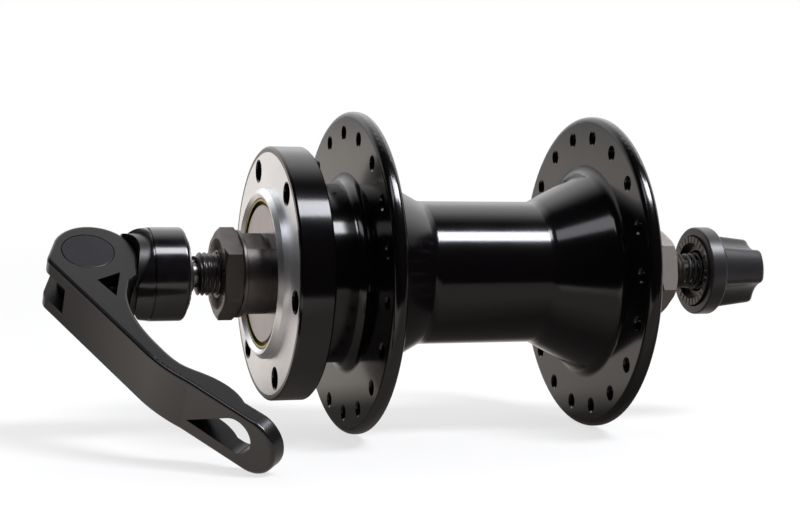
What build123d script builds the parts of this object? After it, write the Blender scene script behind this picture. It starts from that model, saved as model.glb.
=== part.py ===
from build123d import *
import os
from math import asin, cos, degrees, pi, radians, sin, sqrt

os.makedirs("parts", exist_ok=True)

# A quick-release front hub for a six-bolt brake disc, lying on its two flanges.
# The axle runs along Y and +Y is the brake side. +Z is up. The origin is on the axle,
# midway between the two faces that the fork's dropouts touch. Lengths are in millimetres.
# Angles round the axle are in degrees, from straight up towards +X.

# Clearances
fit_gap = 0.02
running_gap = 0.05
ball_gap = 0.03
cam_gap = 0.12
spring_gap = 0.05

# Axle, locknuts, washers and cones
fork_width = 100.0
axle_dia = 8.8
axle_bore = 5.6
axle_proud = 4.3
axle_tip_dia = 7.8
axle_tip_length = 1.2
locknut_flats = 16.5
locknut_thickness = 3.8
locknut_bevel = 0.5
left_locknut_turn = 28.8
right_locknut_turn = 39.4
washer_dia = 17.9
washer_thickness = 0.8
cone_dia = 16.5
cone_collar = 4.8
cone_seat_dia = 15.8
cone_nose = 3.0
cone_flats = 15.0
cone_flat_length = 4.4
cone_flats_turn = -23.2
cover_dia = 28.4
cover_thickness = 0.7
cover_edge = 0.35

# Ball bearings
ball_dia = 4.7625
ball_count = 10
ball_circle = 16.8
ball_inset = 3.4
race_radius = 2.5
race_lip = 0.5
contact_angle = 45.0
cup_dia = 31.0
cup_width = 6.6
cup_rim = 0.7
cup_mouth = 1.5
cup_setback = 0.3

# Hub shell
tube_dia = 30.0
flange_dia = 66.8
flange_thickness = 3.1
flange_rounding = 1.3
left_flange_place = 23.0
right_flange_place = 34.2
flare_dia = 43.2
flare_length = 12.4
flare_rounding = 3.0
neck_dia = 37.0
root_rounding = 2.4
right_boss_dia = 36.6
right_boss_end = 41.5
shell_bore = 24.0
spoke_circle = 58.0
spokes_a_side = 18
spoke_hole = 2.6
spoke_bevel = 0.35
left_spoke_turn = 3.3
rotor_offset = 10.5
rotor_mount_dia = 52.0
rotor_mount_thickness = 7.1
rotor_mount_bevel = 0.4
rotor_spigot_dia = 34.9
rotor_spigot_height = 2.0
rotor_spigot_bevel = 0.9
rotor_bolt_circle = 44.0
rotor_bolts = 6
rotor_thread_bore = 4.3
rotor_thread_bevel = 0.3
rotor_bolt_turn = 20.3
mouth_bevel = 0.7

# Quick-release skewer, housing and nut
rod_dia = 4.9
rod_slip = 0.1
rod_in_nut = 9.5
barrel_dia = 10.4
barrel_hole_depth = 2.9
barrel_rounding = 0.3
pivot_height = 19.5
housing_dia = 18.9
housing_stand = 7.2
housing_length = 7.3
housing_rounding = 0.8
housing_groove = 0.4
crown_height = 3.2
crown_taper = 0.45
crown_hollow_radius = 12.3
pocket_dia = 9.2
pocket_depth = 4.4
teeth_dia = 15.2
teeth_depth = 1.4
teeth_proud = 0.6
teeth_bore = 12.4
tooth_count = 30
tooth_height = 0.3
saddle_dia = 16.4
saddle_seat = 1.5
saddle_height = 6.2
nut_stand = 8.0
nut_dia = 19.2
nut_ring = 3.5
nut_length = 14.2
nut_rounding = 0.4
nut_dish_dia = 15.8
nut_dish_depth = 0.8
grip_dia = 16.6
grip_end_dia = 14.0
grip_rounding = 1.1
grip_root_rounding = 1.0
flute_dia = 12.5
flute_floor = 5.9
flute_end_floor = 5.2
lobe_rounding = 1.5
flute_turn = -16.2
nut_bore_depth = 12.3
insert_boss_dia = 10.4
insert_boss_length = 1.8
insert_neck_dia = 7.6
insert_length = 11.4
insert_shoulder = 3.3

# Springs
wire_dia = 0.8
spring_turns = 5
spring_small = 6.5
spring_large = 8.0

# Lever, in a flat drawing: x away from the hub, y along the lever from its pivot
lever_lean = 55.9
lever_width = 12.0
fork_gap = 6.0
fork_depth = 8.3
cam_closed = 9.7
cam_drop = 2.4
cam_angle = 140.0
cam_lead = 12.0
cam_tail = 148.0
lever_rounding = 0.7
lever_end = 20.8
slot_start = 0.9
slot_side = -2.9
slot_reach = 11.4
slot_tilt = 17.3
slot_radius = 3.7
slot_rounding = 0.4

# Places along the axle that follow from the sizes above
locknut_out = fork_width / 2
locknut_in = locknut_out - locknut_thickness
cone_out = locknut_in - washer_thickness
cover_out = cone_out - cone_collar
cover_in = cover_out - cover_thickness
ball_place = cover_out - ball_inset
cone_in = ball_place - cone_nose
cup_out = ball_place + cup_width / 2 + cup_setback
cup_in = cup_out - cup_width
axle_end = locknut_out + axle_proud
rotor_face = fork_width / 2 - rotor_offset
housing_face = locknut_out + housing_stand
pivot_place = housing_face + pivot_height
pocket_floor = housing_face + pocket_depth
saddle_floor = housing_face + housing_length - saddle_seat
nut_face = locknut_out + nut_stand
rod_end = nut_face + rod_in_nut
rod_hole = rod_dia / 2 + rod_slip
ball_radius = ball_dia / 2
race_slack = race_radius - ball_radius - ball_gap
race_shift_y = race_slack * sin(radians(contact_angle))
race_shift_r = race_slack * cos(radians(contact_angle))


def across_axle(place):
    """A plane across the axle that looks to the brake side, its x axis straight up."""
    return Plane(origin=(0, place, 0), x_dir=(0, 0, 1), z_dir=(0, 1, 0))


def lever_plane():
    """The lever's flat drawing: x along +Y from the pivot, y from the pivot to the tip."""
    lean = radians(lever_lean)
    return Plane(origin=(0, pivot_place, 0), x_dir=(0, 1, 0), z_dir=(-cos(lean), 0, sin(lean)))


def circle_edges(part, radius):
    """The round edges of one radius."""
    edges = part.edges().filter_by(GeomType.CIRCLE)
    return edges.filter_by(lambda edge: abs(edge.radius - radius) < 0.001)


# Hollow axle: a threaded steel tube that the skewer passes through
with BuildPart() as hollow_axle:
    with BuildSketch(Plane.YZ):
        with BuildLine():
            Polyline(
                (-axle_end, axle_bore / 2),
                (-axle_end, axle_tip_dia / 2),
                (-axle_end + axle_tip_length, axle_tip_dia / 2),
                (-axle_end + axle_tip_length, axle_dia / 2),
                (axle_end - axle_tip_length, axle_dia / 2),
                (axle_end - axle_tip_length, axle_tip_dia / 2),
                (axle_end, axle_tip_dia / 2),
                (axle_end, axle_bore / 2),
                close=True,
            )
        make_face()
    revolve(axis=Axis.Y)
    thread_ends = circle_edges(hollow_axle, axle_dia / 2)
    chamfer(thread_ends, (axle_dia - axle_tip_dia) / 4)
hollow_axle.part.label = "hollow_axle"
export_step(hollow_axle.part, "parts/hollow_axle.step")


def make_locknut(side, turn, label):
    """A bevelled hexagon nut whose outer face is the face that the dropout touches."""
    middle = side * (locknut_out + locknut_in) / 2
    corner = locknut_flats / sqrt(3)
    with BuildPart() as nut:
        with BuildSketch(across_axle(middle)):
            RegularPolygon(locknut_flats / 2, 6, major_radius=False, rotation=turn + 30)
            Circle(axle_dia / 2 + fit_gap, mode=Mode.SUBTRACT)
        extrude(amount=locknut_thickness / 2, both=True)
        with BuildSketch(Plane.YZ):
            with BuildLine():
                Polyline(
                    (middle - locknut_thickness / 2, 0),
                    (middle - locknut_thickness / 2, corner - 2 * locknut_bevel),
                    (middle - locknut_thickness / 2 + locknut_bevel, corner),
                    (middle + locknut_thickness / 2 - locknut_bevel, corner),
                    (middle + locknut_thickness / 2, corner - 2 * locknut_bevel),
                    (middle + locknut_thickness / 2, 0),
                    close=True,
                )
            make_face()
        revolve(axis=Axis.Y, mode=Mode.INTERSECT)
    nut.part.label = label
    export_step(nut.part, f"parts/{label}.step")


def make_washer(side, label):
    """A plain steel ring between the locknut and the cone."""
    with BuildPart() as washer:
        with BuildSketch(across_axle(side * (locknut_in + cone_out) / 2)):
            Circle(washer_dia / 2)
            Circle(axle_dia / 2 + fit_gap, mode=Mode.SUBTRACT)
        extrude(amount=washer_thickness / 2, both=True)
        chamfer(circle_edges(washer, washer_dia / 2), washer_thickness / 6)
    washer.part.label = label
    export_step(washer.part, f"parts/{label}.step")


def make_cone(side, label):
    """A cone: a collar with spanner flats, a seat for the dust cover and a ground ball race."""
    race_y = ball_place - race_shift_y
    race_r = ball_circle / 2 + race_shift_r
    seat_r = cone_seat_dia / 2
    crest_y = race_y + sqrt(race_radius**2 - (race_r - seat_r) ** 2)
    bore_r = axle_dia / 2 + fit_gap
    low = radians(-90)
    high = radians(-90) / 2
    with BuildPart() as cone:
        with BuildSketch(Plane.YZ):
            with BuildLine():
                start = (side * race_y, race_r + race_radius * sin(low))
                middle = (side * (race_y + race_radius * cos(high)), race_r + race_radius * sin(high))
                crest = (side * crest_y, seat_r)
                ThreePointArc(start, middle, crest)
                Polyline(
                    crest,
                    (side * cover_out, seat_r),
                    (side * cover_out, cone_dia / 2),
                    (side * cone_out, cone_dia / 2),
                    (side * cone_out, bore_r),
                    (side * cone_in, bore_r),
                    (side * cone_in, start[1]),
                    start,
                )
            make_face()
        revolve(axis=Axis.Y)
        flat_from = cone_out - cone_flat_length
        with BuildSketch(across_axle(side * (flat_from + cone_out) / 2)):
            with Locations(Rot(0, 0, cone_flats_turn)):
                with Locations((cone_flats / 2 + cone_dia / 4, 0), (-cone_flats / 2 - cone_dia / 4, 0)):
                    Rectangle(cone_dia / 2, cone_dia)
        extrude(amount=cone_flat_length / 2, both=True, mode=Mode.SUBTRACT)
    cone.part.label = label
    export_step(cone.part, f"parts/{label}.step")


def make_dust_cover(side, label):
    """A pressed steel disc on the cone's seat that closes the bearing."""
    with BuildPart() as cover:
        with BuildSketch(across_axle(side * (cover_out + cover_in) / 2)):
            Circle(cover_dia / 2)
            Circle(cone_seat_dia / 2 + fit_gap, mode=Mode.SUBTRACT)
        extrude(amount=cover_thickness / 2, both=True)
        rim = circle_edges(cover, cover_dia / 2)
        fillet(rim.sort_by(Axis.Y)[-1 if side > 0 else 0], cover_edge)
    cover.part.label = label
    export_step(cover.part, f"parts/{label}.step")


def make_cup(side, label):
    """A hardened cup pressed into the shell, with a ground race and an open mouth."""
    race_y = ball_place + race_shift_y
    race_r = ball_circle / 2 - race_shift_r
    lip_r = race_r + race_lip
    lip_y = race_y - sqrt(race_radius**2 - race_lip**2)
    mouth_r = cup_dia / 2 - cup_rim
    slope = radians(135)
    with BuildPart() as cup:
        with BuildSketch(Plane.YZ):
            with BuildLine():
                top = (side * race_y, race_r + race_radius)
                middle = (side * (race_y + race_radius * cos(slope)), race_r + race_radius * sin(slope))
                lip = (side * lip_y, lip_r)
                ThreePointArc(top, middle, lip)
                Polyline(
                    lip,
                    (side * cup_in, lip_r),
                    (side * cup_in, cup_dia / 2 - fit_gap),
                    (side * cup_out, cup_dia / 2 - fit_gap),
                    (side * cup_out, mouth_r),
                    (side * (cup_out - cup_mouth), mouth_r),
                    (side * (cup_out - cup_mouth), race_r + race_radius),
                    top,
                )
            make_face()
        revolve(axis=Axis.Y)
        chamfer(circle_edges(cup, cup_dia / 2 - fit_gap), cup_rim / 4)
    cup.part.label = label
    export_step(cup.part, f"parts/{label}.step")


def make_balls(side, label):
    """A full row of loose steel balls between cone and cup."""
    with BuildPart() as balls:
        with Locations(across_axle(side * ball_place)):
            with PolarLocations(ball_circle / 2, ball_count):
                Sphere(ball_radius)
    balls.part.label = label
    export_step(balls.part, f"parts/{label}.step")


for side, name in ((1, "left"), (-1, "right")):
    make_locknut(side, left_locknut_turn if side > 0 else right_locknut_turn, f"{name}_locknut")
    make_washer(side, f"{name}_washer")
    make_cone(side, f"{name}_cone")
    make_dust_cover(side, f"{name}_dust_cover")
    make_cup(side, f"{name}_bearing_cup")
    make_balls(side, f"{name}_balls")

# Hub shell: one forging with two spoke flanges, a flared tube and the disc mount
left_flange_in = left_flange_place - flange_thickness
right_flange_in = right_flange_place - flange_thickness
rotor_back = rotor_face - rotor_mount_thickness
spigot_out = rotor_face + rotor_spigot_height
spigot_r = rotor_spigot_dia / 2
cup_seat_r = cup_dia / 2
with BuildPart() as hub_shell:
    with BuildSketch(Plane.YZ):
        with BuildLine():
            Polyline(
                (-right_boss_end, cup_seat_r),
                (-right_boss_end, right_boss_dia / 2),
                (-right_flange_place, right_boss_dia / 2),
                (-right_flange_place, flange_dia / 2),
                (-right_flange_in, flange_dia / 2),
                (-right_flange_in, flare_dia / 2),
                (-right_flange_in + flare_length, tube_dia / 2),
                (left_flange_in - flare_length, tube_dia / 2),
                (left_flange_in, flare_dia / 2),
                (left_flange_in, flange_dia / 2),
                (left_flange_place, flange_dia / 2),
                (left_flange_place, neck_dia / 2),
                (rotor_back, neck_dia / 2),
                (rotor_back, rotor_mount_dia / 2),
                (rotor_face, rotor_mount_dia / 2),
                (rotor_face, spigot_r),
                (spigot_out, spigot_r),
                (spigot_out, cup_seat_r),
                (cup_in, cup_seat_r),
                (cup_in, shell_bore / 2),
                (-cup_in, shell_bore / 2),
                (-cup_in, cup_seat_r),
                close=True,
            )
        make_face()
    revolve(axis=Axis.Y)
    fillet(circle_edges(hub_shell, flange_dia / 2), min(flange_rounding, 0.45 * flange_thickness))
    fillet(circle_edges(hub_shell, flare_dia / 2), root_rounding)
    fillet(circle_edges(hub_shell, neck_dia / 2), root_rounding)
    fillet(circle_edges(hub_shell, tube_dia / 2), flare_rounding)
    fillet(circle_edges(hub_shell, right_boss_dia / 2).sort_by(Axis.Y)[1:], root_rounding)
    chamfer(circle_edges(hub_shell, right_boss_dia / 2).sort_by(Axis.Y)[0], mouth_bevel)
    chamfer(circle_edges(hub_shell, rotor_mount_dia / 2), rotor_mount_bevel)
    chamfer(circle_edges(hub_shell, spigot_r).sort_by(Axis.Y)[-1], rotor_spigot_bevel)
    mouths = circle_edges(hub_shell, cup_seat_r).sort_by(Axis.Y)
    chamfer([mouths[0], mouths[-1]], mouth_bevel)
    with Locations(across_axle(rotor_face)):
        with PolarLocations(rotor_bolt_circle / 2, rotor_bolts, start_angle=rotor_bolt_turn):
            CounterSinkHole(
                rotor_thread_bore / 2,
                rotor_thread_bore / 2 + rotor_thread_bevel,
                depth=2 * rotor_mount_thickness,
                counter_sink_angle=90,
            )
    right_spoke_turn = left_spoke_turn + 180 / spokes_a_side
    for face, turn in ((left_flange_place, left_spoke_turn), (-right_flange_in, right_spoke_turn)):
        with Locations(across_axle(face)):
            with PolarLocations(spoke_circle / 2, spokes_a_side, start_angle=turn):
                Hole(spoke_hole / 2, depth=flange_thickness)
    chamfer(circle_edges(hub_shell, spoke_hole / 2), spoke_bevel)
hub_shell.part.label = "hub_shell"
export_step(hub_shell.part, "parts/hub_shell.step")

# Skewer rod: a long thin steel rod through the axle, threaded into the nut at one end
with BuildPart() as skewer_rod:
    rod_top = pivot_place + barrel_hole_depth - fit_gap
    with BuildSketch(across_axle(-rod_end)):
        Circle(rod_dia / 2)
    extrude(amount=rod_end + rod_top)
    chamfer(circle_edges(skewer_rod, rod_dia / 2), rod_dia / 12)
skewer_rod.part.label = "skewer_rod"
export_step(skewer_rod.part, "parts/skewer_rod.step")

# Cam barrel: the cross pin through the lever's two arms that the rod screws into
with BuildPart() as cam_barrel:
    with BuildSketch(lever_plane()):
        Circle(barrel_dia / 2)
    extrude(amount=lever_width / 2, both=True)
    fillet(circle_edges(cam_barrel, barrel_dia / 2), barrel_rounding)
    with BuildSketch(across_axle(pivot_place + barrel_hole_depth)):
        Circle(rod_dia / 2 + fit_gap)
    extrude(amount=-barrel_dia, mode=Mode.SUBTRACT)
cam_barrel.part.label = "cam_barrel"
export_step(cam_barrel.part, "parts/cam_barrel.step")


def cam_point(angle, grow):
    """A point of the lever's cam, whose radius falls steadily as the lever opens."""
    radius = cam_closed - cam_drop * angle / cam_angle + grow
    turn = radians(180 + angle)
    return (radius * cos(turn), radius * sin(turn))


# Outline of the lever from its pivot, behind the cam: the back, the tip and the inner side
back_corner = (8.4, 2.4)
back_middle = (-7.0, 31.0)
back_hollow = (-9.9, 35.2)
back_bend = (-13.2, 38.7)
back_tip = (-28.0, 55.9)
inner_tip = (-30.6, 53.0)
inner_finger = (-22.8, 44.3)
inner_knuckle = (-20.4, 39.4)
inner_bend = (-17.0, 36.3)
inner_hollow = (-13.2, 33.6)
inner_waist = (-9.9, 28.7)
inner_middle = (-6.6, 20.6)
inner_root = (-6.0, 13.0)
notch_low = (-7.0, 9.0)
notch_high = (-8.7, 7.2)
window = ((-0.6, 8.9), (-5.4, 6.6), (-3.6, 13.8))
corner_rounding = 2.6
notch_rounding = 0.8


def cam_curve(grow):
    """Points along the cam, from the side that presses at rest to the open side."""
    steps = 10
    span = cam_tail + cam_lead
    return [cam_point(-cam_lead + span * step / steps, grow) for step in range(steps + 1)]


def lever_outline():
    """The closed side view of the lever with its cam."""
    cam = cam_curve(0)
    Spline(*cam)
    Line(cam[-1], back_corner)
    Line(back_corner, back_middle)
    ThreePointArc(back_middle, back_hollow, back_bend)
    Line(back_bend, back_tip)
    Line(back_tip, inner_tip)
    Line(inner_tip, inner_finger)
    Spline(inner_finger, inner_knuckle, inner_bend, inner_hollow, inner_waist, inner_middle, inner_root)
    Line(inner_root, notch_low)
    Line(notch_low, notch_high)
    Line(notch_high, cam[0])


def lever_back_plane():
    """The lever's back beyond its bend: x towards the tip, y across the lever, z outwards."""
    drawing = lever_plane()
    origin = drawing.from_local_coords(Vector(*back_bend, 0))
    ahead = drawing.from_local_coords(Vector(*back_tip, 0)) - origin
    return Plane(origin=origin, x_dir=ahead, z_dir=drawing.z_dir.cross(ahead) * -1)


with BuildPart() as lever:
    with BuildSketch(lever_plane()) as side_view:
        with BuildLine():
            lever_outline()
        make_face()
        for corner, radius in (
            (back_corner, corner_rounding),
            (notch_low, notch_rounding),
        ):
            fillet(side_view.vertices().sort_by_distance((*corner, 0))[0], radius)
    extrude(amount=lever_width / 2, both=True)
    with BuildSketch(lever_back_plane()):
        with Locations((lever_end - lever_width / 2, 0)):
            Circle(lever_width / 2)
        with Locations((lever_end / 2 - lever_width / 4 - pivot_place / 2, 0)):
            Rectangle(lever_end - lever_width / 2 + pivot_place, lever_width)
    extrude(amount=pivot_place, both=True, mode=Mode.INTERSECT)
    rims = lever.faces().filter_by(Axis(origin=(0, 0, 0), direction=lever_plane().z_dir)).edges()
    round_end = lever.faces().filter_by(GeomType.CYLINDER)
    round_end = round_end.filter_by(lambda face: abs(face.radius - lever_width / 2) < 0.001)
    rims += round_end.edges().filter_by(GeomType.LINE, reverse=True)
    fillet(rims, lever_rounding)
    with BuildSketch(lever_plane()):
        with Locations((0, fork_depth - lever_width)):
            Rectangle(4 * barrel_dia, 2 * lever_width)
    extrude(amount=fork_gap / 2, both=True, mode=Mode.SUBTRACT)
    with BuildSketch(lever_plane()):
        Circle(barrel_dia / 2 + running_gap)
        with BuildLine():
            Polyline(*window, close=True)
        make_face()
    extrude(amount=lever_width, both=True, mode=Mode.SUBTRACT)
    with BuildSketch(lever_back_plane()):
        tangent_length = sqrt(slot_reach**2 - slot_radius**2)
        spread = degrees(asin(slot_radius / slot_reach))
        with Locations(Location((slot_start, slot_side, 0), (0, 0, slot_tilt))):
            with Locations((slot_reach, 0)):
                Circle(slot_radius)
            low = Vector(tangent_length, 0).rotate(Axis.Z, -spread)
            high = Vector(tangent_length, 0).rotate(Axis.Z, spread)
            Polygon((0, 0), (low.X, low.Y), (slot_reach, 0), (high.X, high.Y), align=None)
    extrude(amount=lever_width, both=True, mode=Mode.SUBTRACT)
lever.part.label = "lever"
export_step(lever.part, "parts/lever.step")

# Cam saddle: a black thrust washer with a trough that the lever's cam presses on
with BuildPart() as cam_saddle:
    with BuildSketch(across_axle(saddle_floor)):
        Circle(saddle_dia / 2 - fit_gap)
        Circle(rod_hole, mode=Mode.SUBTRACT)
    extrude(amount=saddle_height)
    with BuildSketch(lever_plane()):
        with BuildLine():
            cam = cam_curve(cam_gap)
            Spline(*cam)
            Polyline(
                cam[-1],
                (saddle_dia, cam[-1][1]),
                (saddle_dia, saddle_dia),
                (inner_root[0] - cam_gap, saddle_dia),
                (inner_root[0] - cam_gap, inner_root[1]),
                (notch_low[0] - cam_gap, notch_low[1]),
                (notch_high[0] - cam_gap, notch_high[1]),
                cam[0],
            )
        make_face()
    extrude(amount=lever_width, both=True, mode=Mode.SUBTRACT)
cam_saddle.part.label = "cam_saddle"
export_step(cam_saddle.part, "parts/cam_saddle.step")

# Lever housing: the turned alloy body that the saddle pushes against the dropout
housing_r = housing_dia / 2
housing_end = housing_face + housing_length
crown_end = housing_end + crown_height
with BuildPart() as lever_housing:
    with BuildSketch(Plane.YZ):
        with BuildLine():
            Polyline(
                (housing_face, teeth_dia / 2),
                (housing_face, housing_r),
                (housing_end - housing_groove, housing_r),
                (housing_end - housing_groove, housing_r - housing_groove),
                (housing_end, housing_r - housing_groove),
                (housing_end, housing_r - housing_groove / 4),
                (crown_end, housing_r - crown_taper),
                (crown_end, saddle_dia / 2),
                (saddle_floor, saddle_dia / 2),
                (saddle_floor, rod_hole),
                (pocket_floor, rod_hole),
                (pocket_floor, pocket_dia / 2),
                (housing_face + teeth_depth, pocket_dia / 2),
                (housing_face + teeth_depth, teeth_dia / 2),
                close=True,
            )
        make_face()
    revolve(axis=Axis.Y)
    fillet(circle_edges(lever_housing, housing_r).sort_by(Axis.Y)[0], housing_rounding)
    with BuildSketch(lever_plane()):
        Circle(crown_hollow_radius)
    extrude(amount=housing_dia, both=True, mode=Mode.SUBTRACT)
lever_housing.part.label = "lever_housing"
export_step(lever_housing.part, "parts/lever_housing.step")


def cut_teeth(place):
    """Radial grooves in a clamping face, which bite into the dropout."""
    with Locations(across_axle(place)):
        with PolarLocations((teeth_dia + teeth_bore) / 4, tooth_count):
            Box(teeth_dia, tooth_height, tooth_height, rotation=(45, 0, 0), mode=Mode.SUBTRACT)


# Housing teeth: the steel ring pressed into the housing's clamping face
with BuildPart() as housing_teeth:
    with BuildSketch(across_axle(housing_face + teeth_depth)):
        Circle(teeth_dia / 2 - fit_gap)
        Circle(teeth_bore / 2, mode=Mode.SUBTRACT)
    extrude(amount=-teeth_depth - teeth_proud)
    cut_teeth(housing_face - teeth_proud)
housing_teeth.part.label = "housing_teeth"
export_step(housing_teeth.part, "parts/housing_teeth.step")

# Nut insert: the toothed steel nut that the plastic knob is moulded round
insert_face = nut_face - teeth_proud
insert_back = insert_face + insert_shoulder
insert_boss_end = insert_back + insert_boss_length
insert_end = insert_face + insert_length
nut_floor = nut_face + pocket_depth
with BuildPart() as nut_insert:
    with BuildSketch(Plane.YZ):
        with BuildLine():
            Polyline(
                (-insert_face, teeth_bore / 2),
                (-insert_face, teeth_dia / 2),
                (-insert_back, teeth_dia / 2),
                (-insert_back, insert_boss_dia / 2),
                (-insert_boss_end, insert_boss_dia / 2),
                (-insert_boss_end, insert_neck_dia / 2),
                (-insert_end, insert_neck_dia / 2),
                (-insert_end, rod_dia / 2 + running_gap),
                (-nut_floor, rod_dia / 2 + running_gap),
                (-nut_floor, pocket_dia / 2),
                (-insert_back, pocket_dia / 2),
                (-insert_face - teeth_depth, pocket_dia / 2),
                (-insert_face - teeth_depth, teeth_bore / 2),
                close=True,
            )
        make_face()
    revolve(axis=Axis.Y)
    cut_teeth(-insert_face)
nut_insert.part.label = "nut_insert"
export_step(nut_insert.part, "parts/nut_insert.step")

# Nut knob: the moulded grip of the adjusting nut, with three fat lobes
ring_end = nut_face + nut_ring
grip_end = nut_face + nut_length
with BuildPart() as nut_knob:
    for place, dia, floor in ((ring_end, grip_dia, flute_floor), (grip_end, grip_end_dia, flute_end_floor)):
        with BuildSketch(across_axle(-place)) as lobes:
            Circle(dia / 2)
            with PolarLocations(floor + flute_dia / 2, 3, start_angle=flute_turn):
                Circle(flute_dia / 2, mode=Mode.SUBTRACT)
            fillet(lobes.vertices(), lobe_rounding)
    loft()
    fillet(nut_knob.faces().sort_by(Axis.Y)[0].edges(), grip_rounding)
    with BuildSketch(across_axle(-nut_face)):
        Circle(nut_dia / 2)
    extrude(amount=-nut_ring)
    root = nut_knob.edges().filter_by_position(Axis.Y, -ring_end - fit_gap, -ring_end + fit_gap)
    fillet(root.filter_by(lambda edge: edge.length < nut_dia), grip_root_rounding)
    fillet(circle_edges(nut_knob, nut_dia / 2), nut_rounding)
    with BuildSketch(Plane.YZ):
        with BuildLine():
            Polyline(
                (-nut_face, 0),
                (-nut_face, nut_dish_dia / 2),
                (-nut_face - nut_dish_depth, teeth_dia / 2 + fit_gap),
                (-insert_back, teeth_dia / 2 + fit_gap),
                (-insert_back, insert_boss_dia / 2 + fit_gap),
                (-insert_boss_end, insert_boss_dia / 2 + fit_gap),
                (-insert_boss_end, insert_neck_dia / 2 + fit_gap),
                (-insert_end, insert_neck_dia / 2 + fit_gap),
                (-insert_end, rod_hole),
                (-nut_face - nut_bore_depth, rod_hole),
                (-nut_face - nut_bore_depth, 0),
                close=True,
            )
        make_face()
    revolve(axis=Axis.Y, mode=Mode.SUBTRACT)
nut_knob.part.label = "nut_knob"
export_step(nut_knob.part, "parts/nut_knob.step")


def coil_point(turn, side):
    """Place and heading of the conical spring's wire after a number of turns."""
    start = axle_end + spring_gap + wire_dia / 2
    rise = (pocket_floor - spring_gap - wire_dia / 2 - start) / spring_turns
    swell = (spring_large - spring_small) / 2 / spring_turns
    radius = spring_small / 2 + swell * turn
    angle = 2 * pi * turn
    place = Vector(radius * sin(angle), side * (start + rise * turn), radius * cos(angle))
    heading = Vector(
        swell * sin(angle) + 2 * pi * radius * cos(angle),
        side * rise,
        swell * cos(angle) - 2 * pi * radius * sin(angle),
    )
    return place, heading.normalized()


def make_spring(side, label):
    """A conical spring of round wire between the axle's end and the pocket's floor."""
    quarters = 4 * spring_turns
    with BuildPart() as spring:
        with BuildLine() as wire:
            for quarter in range(quarters):
                begin, begin_heading = coil_point(quarter / 4, side)
                end, end_heading = coil_point((quarter + 1) / 4, side)
                chord = end - begin
                both_headings = begin_heading + end_heading
                spread = 2 * (1 - begin_heading.dot(end_heading))
                along = chord.dot(both_headings)
                reach = (sqrt(along**2 + spread * chord.dot(chord)) - along) / spread
                first = begin + begin_heading * reach
                last = end - end_heading * reach
                middle = (first + last) / 2
                TangentArc(begin, middle, tangent=begin_heading)
                TangentArc(middle, end, tangent=last - first)
        begin, begin_heading = coil_point(0, side)
        with BuildSketch(Plane(origin=begin, z_dir=begin_heading)):
            Circle(wire_dia / 2)
        sweep(path=wire.line)
    spring.part.label = label
    export_step(spring.part, f"parts/{label}.step")


def least_coil_gap():
    """The least open space between the spring's turns, measured on points along the wire."""
    steps = 48
    points = [coil_point(step / steps, 1)[0] for step in range(steps * spring_turns + 1)]
    gaps = [
        (points[i] - points[j]).length - wire_dia
        for i in range(len(points))
        for j in range(i + steps // 2, len(points))
    ]
    return min(gaps)


make_spring(1, "left_spring")
make_spring(-1, "right_spring")
print("least gap between spring turns", round(least_coil_gap(), 3), "mm")
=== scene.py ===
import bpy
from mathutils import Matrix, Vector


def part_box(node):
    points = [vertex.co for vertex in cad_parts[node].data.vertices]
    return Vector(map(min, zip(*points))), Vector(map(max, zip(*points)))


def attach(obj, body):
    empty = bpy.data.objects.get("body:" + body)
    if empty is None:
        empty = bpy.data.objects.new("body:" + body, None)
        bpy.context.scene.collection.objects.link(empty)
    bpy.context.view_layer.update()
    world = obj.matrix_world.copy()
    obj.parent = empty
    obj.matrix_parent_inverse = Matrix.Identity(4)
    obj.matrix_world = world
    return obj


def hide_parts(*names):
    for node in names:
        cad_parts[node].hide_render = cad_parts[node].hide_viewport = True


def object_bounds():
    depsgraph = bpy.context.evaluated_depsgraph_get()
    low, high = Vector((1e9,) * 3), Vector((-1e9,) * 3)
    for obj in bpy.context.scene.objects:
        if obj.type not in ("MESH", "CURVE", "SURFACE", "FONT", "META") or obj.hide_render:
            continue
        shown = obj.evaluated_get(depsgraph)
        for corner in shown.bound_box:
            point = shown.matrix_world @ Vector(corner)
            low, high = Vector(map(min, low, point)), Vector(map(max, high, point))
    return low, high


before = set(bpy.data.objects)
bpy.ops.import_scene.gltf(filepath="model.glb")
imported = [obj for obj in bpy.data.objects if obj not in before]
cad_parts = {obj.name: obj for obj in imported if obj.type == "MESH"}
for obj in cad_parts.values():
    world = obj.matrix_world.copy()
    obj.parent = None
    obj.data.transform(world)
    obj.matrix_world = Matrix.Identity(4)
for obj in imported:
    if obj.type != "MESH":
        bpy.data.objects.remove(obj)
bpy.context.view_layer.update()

from math import cos, hypot, pi, radians, sin

import bpy
from mathutils import Matrix, Vector

# Hub shell: one aluminium forging, turned, drilled and anodised gloss black. The face that takes
# the brake disc and its short spigot are turned once more after the anodising, so they are bare
# and bright, with fine rings left by the tool.
mm = 0.001
bpy.ops.object.select_all(action="DESELECT")


def select_only(piece):
    """Makes one piece the selected and active one."""
    bpy.ops.object.select_all(action="DESELECT")
    piece.select_set(True)
    bpy.context.view_layer.objects.active = piece


def joined_copy(node, name):
    """A new piece with the form and shading of a CAD solid, whose loose triangles are joined."""
    corner_gap = 0.0001 * mm
    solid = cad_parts[node]
    piece = bpy.data.objects.new(name, solid.data.copy())
    bpy.context.scene.collection.objects.link(piece)
    directions = [tuple(corner.vector) for corner in piece.data.corner_normals]
    select_only(piece)
    bpy.ops.object.mode_set(mode="EDIT")
    bpy.ops.mesh.select_all(action="SELECT")
    bpy.ops.mesh.remove_doubles(threshold=corner_gap)
    bpy.ops.object.mode_set(mode="OBJECT")
    piece.data.normals_split_custom_set(directions)
    return piece


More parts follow.
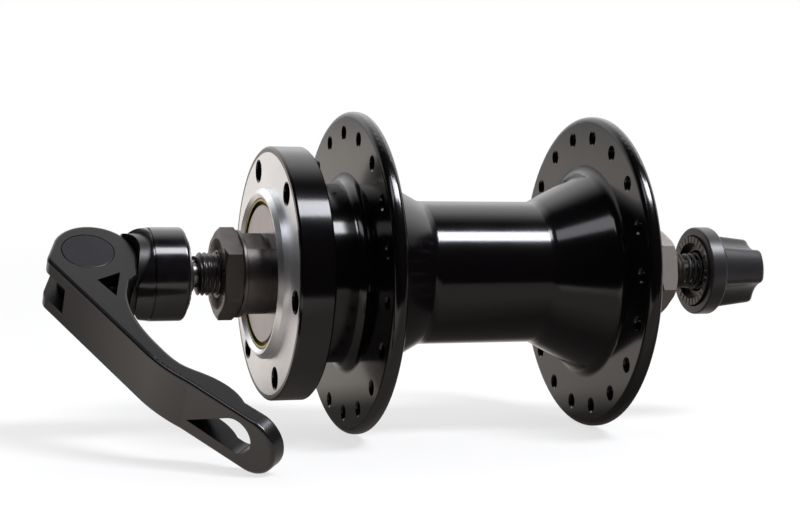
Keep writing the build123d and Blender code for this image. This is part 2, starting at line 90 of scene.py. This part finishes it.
def linear(code):
    """An sRGB hex colour as the linear colour that a shader takes."""
    parts = [int(code[i:i + 2], 16) / 255 for i in (1, 3, 5)]
    return [p / 12.92 if p <= 0.04045 else ((p + 0.055) / 1.055) ** 2.4 for p in parts] + [1.0]


def add(tree, kind, inputs, **settings):
    """A node with its settings. An input is given a value, or is linked to another node's output."""
    node = tree.nodes.new(kind)
    for key, value in settings.items():
        setattr(node, key, value)
    for key, value in inputs.items():
        if isinstance(value, bpy.types.NodeSocket):
            tree.links.new(value, node.inputs[key])
        else:
            node.inputs[key].default_value = value
    return node


def new_material(name):
    """An empty node material and its tree."""
    material = bpy.data.materials.new(name)
    material.use_nodes = True
    material.node_tree.nodes.clear()
    return material, material.node_tree


def axle_radius(tree, place):
    """The distance from the axle's line, and the direction away from it."""
    across = add(tree, "ShaderNodeVectorMath", {0: place, 1: (1, 0, 1)}, operation="MULTIPLY")
    length = add(tree, "ShaderNodeVectorMath", {0: across.outputs[0]}, operation="LENGTH")
    return length.outputs["Value"], across.outputs[0]


def tool_rings(tree, place, spacing):
    """Uneven rings round the axle, as a turning tool leaves them, from 0 to 1."""
    radius = axle_radius(tree, place)[0]
    along = add(tree, "ShaderNodeSeparateXYZ", {0: place}).outputs["Y"]
    ring = add(tree, "ShaderNodeCombineXYZ", {"X": radius, "Y": along})
    return add(tree, "ShaderNodeTexNoise", {"Vector": ring.outputs[0], "Scale": 1 / spacing, "Detail": 2.0})


# Sulphuric anodise dyed black and sealed: a clear gloss skin over a nearly black base.
grain_size = 0.35 * mm
grain_depth = 0.004 * mm
cloud_size = 9 * mm
black_anodise, tree = new_material("black_anodised_aluminium_gloss")
place = add(tree, "ShaderNodeTexCoord", {}).outputs["Object"]
cloud = add(tree, "ShaderNodeTexNoise", {"Vector": place, "Scale": 1 / cloud_size, "Detail": 3.0})
grain = add(tree, "ShaderNodeTexNoise", {"Vector": place, "Scale": 1 / grain_size, "Detail": 2.0})
gloss = add(tree, "ShaderNodeMapRange", {"Value": cloud.outputs["Fac"], "To Min": 0.10, "To Max": 0.17})
tint = add(tree, "ShaderNodeMix", {
    0: grain.outputs["Fac"], 6: linear("#040304"), 7: linear("#0b090a"),
}, data_type="RGBA")
skin = add(tree, "ShaderNodeBump", {
    "Height": grain.outputs["Fac"], "Strength": 0.35, "Distance": grain_depth,
})
coated = add(tree, "ShaderNodeBsdfPrincipled", {
    "Base Color": tint.outputs[2], "Roughness": gloss.outputs[0], "IOR": 1.45, "Normal": skin.outputs[0],
})
add(tree, "ShaderNodeOutputMaterial", {"Surface": coated.outputs[0]})

# Bare turned aluminium: bright, with its highlights drawn out across the tool's rings. The rings
# are drawn 0.3 mm apart, since the real 0.1 mm feed is too fine to show. Outside the turned ring
# the face keeps its black skin.
ring_spacing = 0.3 * mm
ring_depth = 0.012 * mm
bare_edge = 24.8 * mm
turned_aluminium, tree = new_material("bare_aluminium_face_turned")
place = add(tree, "ShaderNodeTexCoord", {}).outputs["Object"]
rings = tool_rings(tree, place, ring_spacing)
radius, away = axle_radius(tree, place)
drawn_out = add(
    tree, "ShaderNodeVectorTransform", {0: away},
    vector_type="VECTOR", convert_from="OBJECT", convert_to="WORLD",
)
direction = add(tree, "ShaderNodeVectorMath", {0: drawn_out.outputs[0]}, operation="NORMALIZE")
smudge = add(tree, "ShaderNodeTexNoise", {"Vector": place, "Scale": 1 / cloud_size, "Detail": 4.0})
tint = add(tree, "ShaderNodeMix", {
    0: smudge.outputs["Fac"], 6: linear("#e6e7ea"), 7: linear("#f6f7f9"),
}, data_type="RGBA")
bite = add(tree, "ShaderNodeMapRange", {"Value": rings.outputs["Fac"], "To Min": 0.3, "To Max": 0.45})
groove = add(tree, "ShaderNodeBump", {
    "Height": rings.outputs["Fac"], "Strength": 0.6, "Distance": ring_depth,
})
bare = add(tree, "ShaderNodeBsdfPrincipled", {
    "Base Color": tint.outputs[2], "Metallic": 1.0, "Roughness": bite.outputs[0], "Anisotropic": 0.45,
    "Tangent": direction.outputs[0], "Normal": groove.outputs[0],
})
border = add(tree, "ShaderNodeMath", {0: radius, 1: bare_edge}, operation="GREATER_THAN")
skin = add(tree, "ShaderNodeBsdfPrincipled", {
    "Base Color": linear("#080708"), "Roughness": 0.14, "IOR": 1.45,
})
face_shader = add(tree, "ShaderNodeMixShader", {
    0: border.outputs[0], 1: bare.outputs[0], 2: skin.outputs[0],
})
add(tree, "ShaderNodeOutputMaterial", {"Surface": face_shader.outputs[0]})

hub_shell = joined_copy("hub_shell", "hub_shell_turned")
hub_shell.data.materials.clear()
hub_shell.data.materials.append(black_anodise)
hub_shell.data.materials.append(turned_aluminium)
disc_face = 39.5 * mm
disc_face_slack = 0.01 * mm
disc_face_edge = 25.55 * mm
for face in hub_shell.data.polygons:
    from_axle = hypot(face.center.x, face.center.z)
    if face.center.y > disc_face - disc_face_slack and from_axle < disc_face_edge:
        face.material_index = 1
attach(hub_shell, "shell")
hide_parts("hub_shell")

# Bearing cups: steel rings, hardened, ground and pressed into the shell's mouths. Their rims are
# zinc plated and yellow passivated, which gives a straw colour with patches of green and brown.
patch_size = 2.2 * mm
yellow_zinc, tree = new_material("yellow_passivated_zinc_on_steel")
place = add(tree, "ShaderNodeTexCoord", {}).outputs["Object"]
patches = add(tree, "ShaderNodeTexNoise", {"Vector": place, "Scale": 1 / patch_size, "Detail": 4.0})
tint = add(tree, "ShaderNodeMix", {
    0: patches.outputs["Fac"], 6: linear("#6f6428"), 7: linear("#a89a45"),
}, data_type="RGBA")
gloss = add(tree, "ShaderNodeMapRange", {"Value": patches.outputs["Fac"], "To Min": 0.38, "To Max": 0.22})
plated = add(tree, "ShaderNodeBsdfPrincipled", {
    "Base Color": tint.outputs[2], "Metallic": 1.0, "Roughness": gloss.outputs[0],
})
add(tree, "ShaderNodeOutputMaterial", {"Surface": plated.outputs[0]})
for side in ("left", "right"):
    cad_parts[side + "_bearing_cup"].material_slots[0].material = yellow_zinc

# Bearing balls: ten a side, 3/16 inch, hardened and lapped bright, loose in a little grease. The
# grease smears their shine unevenly.
ground_steel, tree = new_material("lapped_ball_steel")
place = add(tree, "ShaderNodeTexCoord", {}).outputs["Object"]
smear = add(tree, "ShaderNodeTexNoise", {"Vector": place, "Scale": 1 / patch_size, "Detail": 3.0})
gloss = add(tree, "ShaderNodeMapRange", {"Value": smear.outputs["Fac"], "To Min": 0.05, "To Max": 0.2})
lapped = add(tree, "ShaderNodeBsdfPrincipled", {
    "Base Color": linear("#c8c6c2"), "Metallic": 1.0, "Roughness": gloss.outputs[0],
})
add(tree, "ShaderNodeOutputMaterial", {"Surface": lapped.outputs[0]})
for side in ("left", "right"):
    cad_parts[side + "_balls"].material_slots[0].material = ground_steel

# Hollow axle: a steel tube with a 1 mm pitch thread rolled on each end and a plain middle. The
# skewer passes through it.
steel_ring_spacing = 0.25 * mm
steel_ring_depth = 0.008 * mm
stain_size = 3 * mm
shiny_share = 0.6


def turned_steel(name, dark, light, dullest):
    """Steel that was turned and then darkened in oil or plated grey, with rings from the tool."""
    material, tree = new_material(name)
    place = add(tree, "ShaderNodeTexCoord", {}).outputs["Object"]
    rings = tool_rings(tree, place, steel_ring_spacing)
    stain = add(tree, "ShaderNodeTexNoise", {"Vector": place, "Scale": 1 / stain_size, "Detail": 4.0})
    tint = add(tree, "ShaderNodeMix", {
        0: stain.outputs["Fac"], 6: linear(dark), 7: linear(light),
    }, data_type="RGBA")
    gloss = add(tree, "ShaderNodeMapRange", {
        "Value": stain.outputs["Fac"], "To Min": dullest, "To Max": shiny_share * dullest,
    })
    groove = add(tree, "ShaderNodeBump", {
        "Height": rings.outputs["Fac"], "Strength": 0.25, "Distance": steel_ring_depth,
    })
    metal = add(tree, "ShaderNodeBsdfPrincipled", {
        "Base Color": tint.outputs[2], "Metallic": 1.0, "Roughness": gloss.outputs[0],
        "Normal": groove.outputs[0],
    })
    add(tree, "ShaderNodeOutputMaterial", {"Surface": metal.outputs[0]})
    return material


def wrapped_round_axle(name, rows, columns, pitch=1.0 * mm, teeth=0):
    """A closed form wrapped round the axle's line from a grid.

    A row is (place along the axle, radius, depth of the thread or teeth there). A thread climbs by
    its pitch in a turn, and teeth rise along the axle instead, as on a clamping face."""
    corner_gap = 0.001 * mm
    bpy.ops.object.select_all(action="DESELECT")
    bpy.ops.mesh.primitive_grid_add(x_subdivisions=len(rows) - 1, y_subdivisions=columns, size=1)
    piece = bpy.context.active_object
    piece.name = name
    for vertex in piece.data.vertices:
        along, radius, depth = rows[round((vertex.co.x + 0.5) * (len(rows) - 1))]
        turn = round((vertex.co.y + 0.5) * columns) % columns / columns
        if teeth:
            along += depth * (1 - abs(2 * (turn * teeth % 1) - 1))
        else:
            radius -= depth * (0.5 + 0.5 * cos(2 * pi * (along / pitch - turn)))
        angle = 2 * pi * turn
        vertex.co = (radius * sin(angle), along, radius * cos(angle))
    bpy.ops.object.mode_set(mode="EDIT")
    bpy.ops.mesh.select_all(action="SELECT")
    bpy.ops.mesh.remove_doubles(threshold=corner_gap)
    bpy.ops.mesh.normals_make_consistent(inside=False)
    bpy.ops.object.mode_set(mode="OBJECT")
    return piece


def thread_rows(start, end, radius, depth, pitch):
    """Rows along a thread that runs out to nothing over its last turn."""
    rows_in_turn = 8
    steps = round(abs(end - start) / pitch * rows_in_turn)
    rows = []
    for step in range(steps + 1):
        along = start + (end - start) * step / steps
        left = abs(end - along) / pitch
        rows.append((along, radius, depth * min(1.0, left)))
    return rows


def even_shading(piece, sharpest):
    """Smooth shading up to an angle in degrees, with flat faces kept flat beside rounded edges."""
    select_only(piece)
    bpy.ops.object.shade_smooth_by_angle(angle=radians(sharpest))
    weighted = piece.modifiers.new("weighted", "WEIGHTED_NORMAL")
    weighted.keep_sharp = True
    bpy.ops.object.modifier_apply(modifier=weighted.name)


axle_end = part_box("hollow_axle")[1].y
axle_radius_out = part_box("hollow_axle")[1].z
axle_bore = 2.8 * mm
axle_pitch = 1.0 * mm
axle_columns = 48
thread_depth = 0.5 * mm
thread_sharpest = 40
tip_bevel = 0.4 * mm
thread_start = 24 * mm
half = thread_rows(axle_end - tip_bevel, thread_start, axle_radius_out, thread_depth, axle_pitch)[::-1]
half += [(axle_end, axle_radius_out - thread_depth - tip_bevel, 0), (axle_end, axle_bore, 0)]
rows = [(-y, r, d) for y, r, d in half[::-1]] + half
rows.append(rows[0])
grey_steel = turned_steel("turned_steel_oil_blackened", "#54504e", "#6e6a68", 0.52)
hollow_axle = wrapped_round_axle("hollow_axle_threaded", rows, axle_columns, pitch=axle_pitch)
even_shading(hollow_axle, thread_sharpest)
hollow_axle.data.materials.append(grey_steel)
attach(hollow_axle, "axle_set")
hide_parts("hollow_axle")

# Cones: turned steel collars on the axle's thread, each with two spanner flats and a hardened ball
# race at its inner end. Plain washers lie between them and the locknuts.
for node in ("left_cone", "right_cone", "left_washer", "right_washer"):
    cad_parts[node].material_slots[0].material = grey_steel

# Dust covers: discs pressed from 0.7 mm steel sheet on the cones' seats and plated. The plating is
# a satin grey with a faint orange peel.
peel_size = 0.5 * mm
peel_depth = 0.006 * mm
cover_cloud_size = 5 * mm
cover_plate, tree = new_material("pressed_steel_satin_nickel_plate")
place = add(tree, "ShaderNodeTexCoord", {}).outputs["Object"]
orange_peel = add(tree, "ShaderNodeTexNoise", {"Vector": place, "Scale": 1 / peel_size, "Detail": 3.0})
cloud = add(tree, "ShaderNodeTexNoise", {"Vector": place, "Scale": 1 / cover_cloud_size, "Detail": 3.0})
tint = add(tree, "ShaderNodeMix", {
    0: cloud.outputs["Fac"], 6: linear("#7c7778"), 7: linear("#918c8d"),
}, data_type="RGBA")
peel = add(tree, "ShaderNodeBump", {
    "Height": orange_peel.outputs["Fac"], "Strength": 0.3, "Distance": peel_depth,
})
plated = add(tree, "ShaderNodeBsdfPrincipled", {
    "Base Color": tint.outputs[2], "Metallic": 1.0, "Roughness": 0.2, "Normal": peel.outputs[0],
})
add(tree, "ShaderNodeOutputMaterial", {"Surface": plated.outputs[0]})
for side in ("left", "right"):
    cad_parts[side + "_dust_cover"].material_slots[0].material = cover_plate

# Locknuts: steel hexagons with both faces bevelled, the left one blackened in oil and the right
# one plated pale. Rolled radial ribs on the outer face grip the fork's dropout.
rib_count = 40
columns_in_rib = 4
rib_height = 0.12 * mm
rib_inner = 4.9 * mm
rib_outer = 7.2 * mm
rib_sharpest = 20
pale_steel = turned_steel("turned_steel_zinc_nickel_plate", "#8f8983", "#a8a29c", 0.8)
for side, sign, finish in (("left", 1, grey_steel), ("right", -1, pale_steel)):
    locknut = joined_copy(side + "_locknut", side + "_locknut_ribbed")
    locknut.data.materials.clear()
    locknut.data.materials.append(finish)
    nut_face = max(abs(corner.y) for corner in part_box(side + "_locknut"))
    root = nut_face - rib_height
    rows = [
        (sign * root, rib_inner, 0), (sign * root, rib_inner, sign * 2 * rib_height),
        (sign * root, rib_outer, sign * 2 * rib_height), (sign * root, rib_outer, 0),
        (sign * root, rib_inner, 0),
    ]
    ribs = wrapped_round_axle(side + "_locknut_ribs", rows, columns_in_rib * rib_count, teeth=rib_count)
    even_shading(ribs, rib_sharpest)
    ribs.data.materials.append(finish)
    bpy.ops.object.select_all(action="DESELECT")
    ribs.select_set(True)
    locknut.select_set(True)
    bpy.context.view_layer.objects.active = locknut
    bpy.ops.object.join()
    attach(locknut, "axle_set")
    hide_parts(side + "_locknut")

# Skewer rod: a drawn steel rod through the axle, plated bright. Its nut end has a rolled thread of
# 0.8 mm pitch, and its other end is screwed into the cam barrel.
bright_steel = turned_steel("drawn_steel_rod_bright_zinc", "#6f6d6a", "#8a8885", 0.45)
low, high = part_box("skewer_rod")
rod_radius = high.z
rod_bevel = 0.4 * mm
rod_thread_length = 26 * mm
rod_thread_depth = 0.35 * mm
rod_pitch = 0.8 * mm
rod_columns = 32
rows = [(low.y, 0, 0), (low.y, rod_radius - rod_bevel, 0)]
rows += thread_rows(low.y + rod_bevel, low.y + rod_thread_length, rod_radius, rod_thread_depth, rod_pitch)
rows += [(high.y - rod_bevel, rod_radius, 0), (high.y, rod_radius - rod_bevel, 0), (high.y, 0, 0)]
skewer_rod = wrapped_round_axle("skewer_rod_threaded", rows, rod_columns, pitch=rod_pitch)
even_shading(skewer_rod, thread_sharpest)
skewer_rod.data.materials.append(bright_steel)
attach(skewer_rod, "skewer")
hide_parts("skewer_rod")

# Springs: conical, coiled from 0.8 mm spring wire and blackened. They push the housing and the nut
# away from the axle's ends, so that the open skewer stays centred.
scuff_size = 0.6 * mm
black_wire, tree = new_material("spring_wire_oil_blackened")
place = add(tree, "ShaderNodeTexCoord", {}).outputs["Object"]
scuff = add(tree, "ShaderNodeTexNoise", {"Vector": place, "Scale": 1 / scuff_size, "Detail": 3.0})
tint = add(tree, "ShaderNodeMix", {
    0: scuff.outputs["Fac"], 6: linear("#0c0b0b"), 7: linear("#1c1a1a"),
}, data_type="RGBA")
gloss = add(tree, "ShaderNodeMapRange", {"Value": scuff.outputs["Fac"], "To Min": 0.4, "To Max": 0.6})
oiled = add(tree, "ShaderNodeBsdfPrincipled", {
    "Base Color": tint.outputs[2], "Roughness": gloss.outputs[0], "IOR": 1.6,
})
add(tree, "ShaderNodeOutputMaterial", {"Surface": oiled.outputs[0]})
for side in ("left", "right"):
    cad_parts[side + "_spring"].material_slots[0].material = black_wire

# Lever housing: a cup turned from aluminium and anodised black, with a scooped crown that keeps
# the lever in line. A toothed steel ring is pressed into the face that clamps the dropout.
housing_ring_spacing = 0.4 * mm
housing_ring_depth = 0.006 * mm
housing_cloud_size = 3 * mm
housing_black, tree = new_material("black_anodised_aluminium_turned")
place = add(tree, "ShaderNodeTexCoord", {}).outputs["Object"]
rings = tool_rings(tree, place, housing_ring_spacing)
cloud = add(tree, "ShaderNodeTexNoise", {"Vector": place, "Scale": 1 / housing_cloud_size, "Detail": 3.0})
tint = add(tree, "ShaderNodeMix", {
    0: cloud.outputs["Fac"], 6: linear("#070607"), 7: linear("#151213"),
}, data_type="RGBA")
gloss = add(tree, "ShaderNodeMapRange", {"Value": cloud.outputs["Fac"], "To Min": 0.12, "To Max": 0.2})
groove = add(tree, "ShaderNodeBump", {
    "Height": rings.outputs["Fac"], "Strength": 0.2, "Distance": housing_ring_depth,
})
coated = add(tree, "ShaderNodeBsdfPrincipled", {
    "Base Color": tint.outputs[2], "Roughness": gloss.outputs[0], "IOR": 1.5, "Normal": groove.outputs[0],
})
add(tree, "ShaderNodeOutputMaterial", {"Surface": coated.outputs[0]})
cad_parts["lever_housing"].material_slots[0].material = housing_black
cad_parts["housing_teeth"].material_slots[0].material = grey_steel

# Cam saddle: a thrust block moulded in black acetal, which the lever's cam slides on. The mould
# leaves a fine even texture.
acetal_grain_size = 0.4 * mm
acetal_grain_depth = 0.01 * mm
acetal, tree = new_material("black_acetal_moulded")
place = add(tree, "ShaderNodeTexCoord", {}).outputs["Object"]
peel = add(tree, "ShaderNodeTexNoise", {"Vector": place, "Scale": 1 / acetal_grain_size, "Detail": 2.0})
tint = add(tree, "ShaderNodeMix", {
    0: peel.outputs["Fac"], 6: linear("#080708"), 7: linear("#121011"),
}, data_type="RGBA")
bump = add(tree, "ShaderNodeBump", {
    "Height": peel.outputs["Fac"], "Strength": 0.3, "Distance": acetal_grain_depth,
})
moulded = add(tree, "ShaderNodeBsdfPrincipled", {
    "Base Color": tint.outputs[2], "Roughness": 0.38, "IOR": 1.48, "Normal": bump.outputs[0],
})
add(tree, "ShaderNodeOutputMaterial", {"Surface": moulded.outputs[0]})
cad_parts["cam_saddle"].material_slots[0].material = acetal

# Cam barrel: the turned steel cross pin that joins the rod to the lever's two arms, blackened. Its
# round end shows in the lever's side.
barrel_steel = turned_steel("barrel_steel_blackened", "#2c2b2e", "#3c3b3f", 0.5)
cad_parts["cam_barrel"].material_slots[0].material = barrel_steel

# Lever: forged aluminium with its cam in one piece, bead blasted and anodised satin charcoal. The
# skin is smooth to the touch, with a faint grain from the blasting.
blast_size = 0.3 * mm
blast_depth = 0.012 * mm
lever_cloud_size = 12 * mm
satin_charcoal, tree = new_material("bead_blasted_anodised_aluminium_satin_charcoal")
place = add(tree, "ShaderNodeTexCoord", {}).outputs["Object"]
blast = add(tree, "ShaderNodeTexNoise", {
    "Vector": place, "Scale": 1 / blast_size, "Detail": 3.0, "Roughness": 0.7,
})
cloud = add(tree, "ShaderNodeTexNoise", {"Vector": place, "Scale": 1 / lever_cloud_size, "Detail": 3.0})
tint = add(tree, "ShaderNodeMix", {
    0: cloud.outputs["Fac"], 6: linear("#0e0d0e"), 7: linear("#161415"),
}, data_type="RGBA")
bump = add(tree, "ShaderNodeBump", {
    "Height": blast.outputs["Fac"], "Strength": 0.25, "Distance": blast_depth,
})
coated = add(tree, "ShaderNodeBsdfPrincipled", {
    "Base Color": tint.outputs[2], "Roughness": 0.25, "IOR": 1.5, "Normal": bump.outputs[0],
})
add(tree, "ShaderNodeOutputMaterial", {"Surface": coated.outputs[0]})
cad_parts["lever"].material_slots[0].material = satin_charcoal

# Adjusting nut: a steel nut whose clamping face is cut with radial teeth, moulded into a knob of
# glass-filled nylon with three lobes for the fingers. The mould was spark eroded, which leaves a
# fine matt texture.
spark_size = 0.35 * mm
spark_depth = 0.012 * mm
knob_cloud_size = 6 * mm
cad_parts["nut_insert"].material_slots[0].material = grey_steel
nylon, tree = new_material("glass_filled_nylon_moulded_dark_grey")
place = add(tree, "ShaderNodeTexCoord", {}).outputs["Object"]
spark = add(tree, "ShaderNodeTexNoise", {"Vector": place, "Scale": 1 / spark_size, "Detail": 3.0})
cloud = add(tree, "ShaderNodeTexNoise", {"Vector": place, "Scale": 1 / knob_cloud_size, "Detail": 2.0})
tint = add(tree, "ShaderNodeMix", {
    0: cloud.outputs["Fac"], 6: linear("#1a1819"), 7: linear("#252324"),
}, data_type="RGBA")
bump = add(tree, "ShaderNodeBump", {
    "Height": spark.outputs["Fac"], "Strength": 0.25, "Distance": spark_depth,
})
moulded = add(tree, "ShaderNodeBsdfPrincipled", {
    "Base Color": tint.outputs[2], "Roughness": 0.36, "IOR": 1.53, "Normal": bump.outputs[0],
})
add(tree, "ShaderNodeOutputMaterial", {"Surface": moulded.outputs[0]})
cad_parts["nut_knob"].material_slots[0].material = nylon

# Floor and studio: a pale table top that runs out into the white of the room, a sky that is bright
# behind the hub and dark behind the camera, and three soft boxes in a row above the camera. What is
# glossy mirrors a glowing graded card in place of the table, with the hub's shadow painted on it.
bpy.ops.object.select_all(action="DESELECT")
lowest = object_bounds()[0].z
view_turn = radians(-19.15)
view_drop = radians(-4.536)
view_roll = radians(1.284)
ahead = Vector((cos(view_turn), sin(view_turn), 0))

table_radius = 6
table_sides = 96
fade_start, fade_end = 0.12, 0.6
near_fade = 0.7
pale_table, tree = new_material("studio_table_pale")
place = add(tree, "ShaderNodeTexCoord", {}).outputs["Object"]
reach = add(tree, "ShaderNodeVectorMath", {0: place}, operation="LENGTH")
away = add(tree, "ShaderNodeMapRange", {
    "Value": reach.outputs["Value"], "From Min": fade_start, "From Max": fade_end, "To Min": near_fade,
}, interpolation_type="SMOOTHSTEP")
card = add(tree, "ShaderNodeBsdfDiffuse", {"Color": linear("#e6e6e4")})
lit = add(tree, "ShaderNodeEmission", {"Strength": 1.0})
table_shader = add(tree, "ShaderNodeMixShader", {0: away.outputs[0], 1: card.outputs[0], 2: lit.outputs[0]})
add(tree, "ShaderNodeOutputMaterial", {"Surface": table_shader.outputs[0]})
bpy.ops.mesh.primitive_circle_add(
    vertices=table_sides, radius=table_radius, fill_type="NGON", location=(0, 0, lowest),
)
table = bpy.context.active_object
table.name = "table_top"
table.data.materials.append(pale_table)
table.visible_glossy = False

# Each shade is (metres behind the hub, brightness). The low shades from 0.01 m before the hub to
# 0.02 m behind it are the hub's shadow, painted on the card.
shades_with_painted_shadow = (
    (-0.13, 0.0), (-0.115, 0.5), (-0.04, 0.5), (-0.01, 0.12), (0.02, 0.12), (0.05, 0.8), (0.2, 1.0),
)
first, last = shades_with_painted_shadow[0][0], shades_with_painted_shadow[-1][0]
glare_start, glare_end = 0.09, 0.15
painted_glare_gain = 2.4
card_drop = 0.1 * mm
# The card glows with a painted shadow of the hub, a dark band just behind it, where a real table would be
# shaded.
painted_shadow_card, tree = new_material("studio_table_in_reflections_painted_shadow")
place = add(tree, "ShaderNodeTexCoord", {}).outputs["Object"]
behind = add(tree, "ShaderNodeVectorMath", {0: place, 1: ahead}, operation="DOT_PRODUCT")
along = add(tree, "ShaderNodeMapRange", {
    "Value": behind.outputs["Value"], "From Min": first, "From Max": last,
})
ramp = add(tree, "ShaderNodeValToRGB", {"Fac": along.outputs[0]})
for place_behind, shade in shades_with_painted_shadow[1:-1]:
    stop = ramp.color_ramp.elements.new((place_behind - first) / (last - first))
    stop.color = (shade, shade, shade, 1)
# Painted light: towards the front left the card glows up to 2.4 times brighter, a painted bright patch for
# the turned face to mirror.
front_left = Vector((0, 1, 0)) - ahead
corner = add(tree, "ShaderNodeVectorMath", {0: place, 1: front_left}, operation="DOT_PRODUCT")
painted_glare = add(tree, "ShaderNodeMapRange", {
    "Value": corner.outputs["Value"], "From Min": glare_start, "From Max": glare_end,
    "To Min": 1.0, "To Max": painted_glare_gain,
})
strength = add(tree, "ShaderNodeMath", {
    0: ramp.outputs["Color"], 1: painted_glare.outputs[0],
}, operation="MULTIPLY")
glowing = add(tree, "ShaderNodeEmission", {"Color": linear("#fff6ee"), "Strength": strength.outputs[0]})
add(tree, "ShaderNodeOutputMaterial", {"Surface": glowing.outputs[0]})
bpy.ops.mesh.primitive_circle_add(
    vertices=table_sides, radius=table_radius, fill_type="NGON", location=(0, 0, lowest - card_drop),
)
mirrored = bpy.context.active_object
mirrored.name = "table_in_reflections"
mirrored.data.materials.append(painted_shadow_card)

dark_sky, bright_sky = 0.01, 1.6
horizon_share = 0.35
dome_radius = 8
sky, tree = new_material("studio_sky")
place = add(tree, "ShaderNodeTexCoord", {}).outputs["Object"]
unit = add(tree, "ShaderNodeVectorMath", {0: place}, operation="NORMALIZE")
facing = add(tree, "ShaderNodeVectorMath", {0: unit.outputs[0], 1: ahead}, operation="DOT_PRODUCT")
glow = add(tree, "ShaderNodeMapRange", {
    "Value": facing.outputs["Value"], "From Min": 0.08, "From Max": 0.6,
    "To Min": dark_sky, "To Max": bright_sky,
}, interpolation_type="SMOOTHSTEP")
height = add(tree, "ShaderNodeSeparateXYZ", {0: unit.outputs[0]}).outputs["Z"]
upper = add(tree, "ShaderNodeMapRange", {
    "Value": height, "From Min": 0.05, "From Max": 0.45, "To Min": horizon_share,
})
brightness = add(tree, "ShaderNodeMath", {0: glow.outputs[0], 1: upper.outputs[0]}, operation="MULTIPLY")
shining = add(tree, "ShaderNodeEmission", {"Strength": brightness.outputs[0]})
add(tree, "ShaderNodeOutputMaterial", {"Surface": shining.outputs[0]})
bpy.ops.mesh.primitive_uv_sphere_add(segments=48, ring_count=24, radius=dome_radius)
dome = bpy.context.active_object
dome.name = "studio_dome"
dome.data.materials.append(sky)
dome.visible_camera = False
dome.visible_shadow = False

world = bpy.data.worlds.new("studio")
bpy.context.scene.world = world
world.use_nodes = True
world.node_tree.nodes["Background"].inputs["Color"].default_value = (1, 1, 1, 1)
world.node_tree.nodes["Background"].inputs["Strength"].default_value = 1.0

# Each soft box is (name, metres along the hub, length in metres, watts).
lamp_front, lamp_height = -0.43, 0.90
lamp_tilt = radians(-25.4)
lamp_width = 0.28
for name, lamp_along, length, watts in (
    ("strip_box", -0.485, 0.37, 11.5), ("side_box", -0.175, 0.25, 4), ("fill_box", 0.5, 0.6, 2),
):
    lamp = bpy.data.lights.new(name, "AREA")
    lamp.shape = "RECTANGLE"
    lamp.size = lamp_width
    lamp.size_y = length
    lamp.energy = watts
    lamp.color = (0.92, 0.93, 1.0)
    soft_box = bpy.data.objects.new(name, lamp)
    bpy.context.scene.collection.objects.link(soft_box)
    soft_box.location = (lamp_front, lamp_along, lamp_height)
    soft_box.rotation_euler = (0, lamp_tilt, 0)

camera_place = (-0.37306, 0.14019, 0.03325)
lens = bpy.data.cameras.new("camera")
lens.lens = 85.09
lens.clip_start = 0.01
camera = bpy.data.objects.new("camera", lens)
bpy.context.scene.collection.objects.link(camera)
camera.matrix_world = (
    Matrix.Translation(camera_place)
    @ Matrix.Rotation(view_turn - pi / 2, 4, "Z")
    @ Matrix.Rotation(pi / 2 + view_drop, 4, "X")
    @ Matrix.Rotation(view_roll, 4, "Z")
)
bpy.context.scene.camera = camera
bpy.context.scene.view_settings.view_transform = "Standard"
